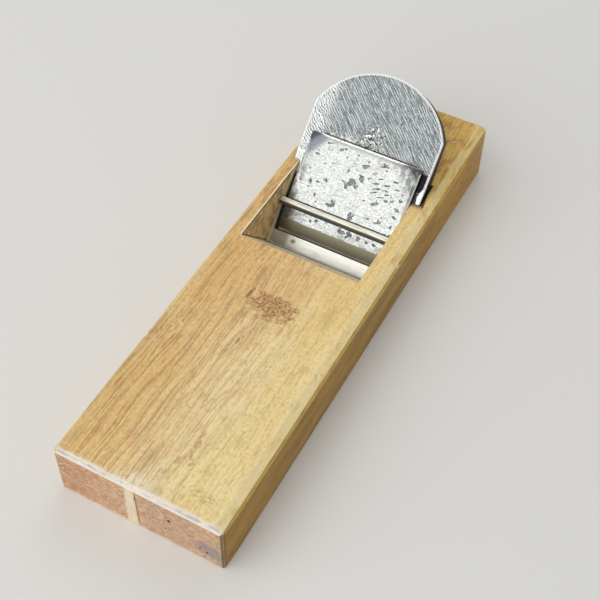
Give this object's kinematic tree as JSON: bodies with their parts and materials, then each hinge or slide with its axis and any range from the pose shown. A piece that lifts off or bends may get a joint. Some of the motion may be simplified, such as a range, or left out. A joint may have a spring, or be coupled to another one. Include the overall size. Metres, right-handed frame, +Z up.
{
  "type": "japanese hand plane",
  "caption": "Wooden pull plane: an oak block with a wedge-tapered laminated blade driven into side grooves and a chip breaker held under a steel pin, for taking thin shavings from wood.",
  "frame": {"origin": "centre of the block's sole, midway along its length and width, on the plane the sole rides on", "axes": "+Y runs along the block from its front end to its rear end, the way the blade's head leans; +Z is up from the sole; +X is to the right looking along +Y. A pull plane is drawn towards -Y, so the front end leads."},
  "size_m": [0.081, 0.27, 0.0668],
  "materials": {
    "white_oak": "hand-planed white oak, worn and lightly oiled by use, with darker handled patches",
    "soft_iron": "filed soft iron with coarse slanting file marks on the head",
    "hard_steel": "hard steel lapped bright on stones",
    "breaker_iron": "bright iron with grey rust pits",
    "breaker_edge_steel": "smooth ground steel",
    "pin_steel": "smooth drawn rod"
  },
  "bodies": {
    "block": {"plane_body": "white_oak", "pressure_pin": "pin_steel"},
    "blade": {"blade_iron": "soft_iron", "blade_steel": "hard_steel"},
    "breaker": {"chip_breaker": "breaker_iron", "chip_breaker_steel": "breaker_edge_steel"}
  },
  "joints": [
    {"name": "blade_slide", "type": "slide", "parent": "block", "child": "blade", "axis": [0, 0.7604, 0.6494], "range_m": [-0.001, 0.06]},
    {"name": "chip_breaker_slide", "type": "slide", "parent": "blade", "child": "breaker", "axis": [0, 0.7314, 0.682], "range_m": [-0.0063, 0.1]}
  ]
}
